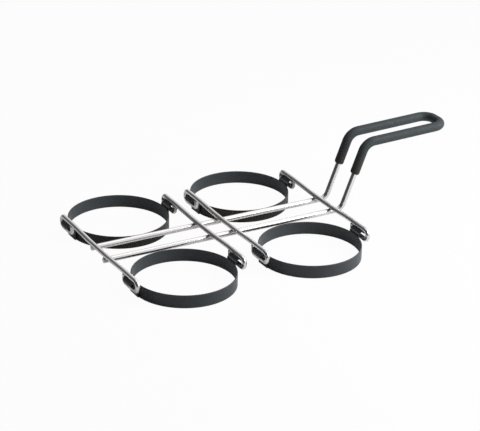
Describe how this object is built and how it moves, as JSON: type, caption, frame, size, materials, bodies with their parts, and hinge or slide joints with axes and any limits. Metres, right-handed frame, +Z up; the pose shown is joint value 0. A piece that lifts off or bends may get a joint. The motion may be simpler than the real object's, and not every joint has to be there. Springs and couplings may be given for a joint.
{
  "type": "egg ring",
  "caption": "Griddle egg ring: coated hoops hang by hook straps in the closed rod eyes of a welded wire frame with a raised, sleeved loop handle.",
  "frame": {"origin": "on the griddle plane that the rings stand on, under the middle of the tool's bounding box", "axes": "+X along the handle towards its loop, +Y to the right of a cook who holds the handle, +Z up"},
  "size_m": [0.3872, 0.241, 0.0873],
  "materials": {
    "polished_wire": "polished",
    "black_coating": "satin non-stick coating",
    "grip_vinyl": "matt"
  },
  "bodies": {
    "wire_frame": {"handle_wire": "polished_wire", "grip_sleeve": "grip_vinyl", "cross_rod_1": "polished_wire", "cross_rod_2": "polished_wire", "cross_rod_3": "polished_wire", "cross_rod_4": "polished_wire"},
    "front_left_ring": {"front_left_band": "black_coating", "front_left_hook_front": "black_coating", "front_left_hook_back": "black_coating"},
    "front_right_ring": {"front_right_band": "black_coating", "front_right_hook_front": "black_coating", "front_right_hook_back": "black_coating"},
    "back_left_ring": {"back_left_band": "black_coating", "back_left_hook_front": "black_coating", "back_left_hook_back": "black_coating"},
    "back_right_ring": {"back_right_band": "black_coating", "back_right_hook_front": "black_coating", "back_right_hook_back": "black_coating"}
  },
  "joints": [
    {"name": "front_left_float", "type": "slide", "parent": "wire_frame", "child": "front_left_ring", "axis": [0, 0, 1], "range_m": [-0.0034, 0]},
    {"name": "front_right_float", "type": "slide", "parent": "wire_frame", "child": "front_right_ring", "axis": [0, 0, 1], "range_m": [-0.0034, 0]},
    {"name": "back_left_float", "type": "slide", "parent": "wire_frame", "child": "back_left_ring", "axis": [0, 0, 1], "range_m": [-0.0034, 0]},
    {"name": "back_right_float", "type": "slide", "parent": "wire_frame", "child": "back_right_ring", "axis": [0, 0, 1], "range_m": [-0.0034, 0]}
  ]
}
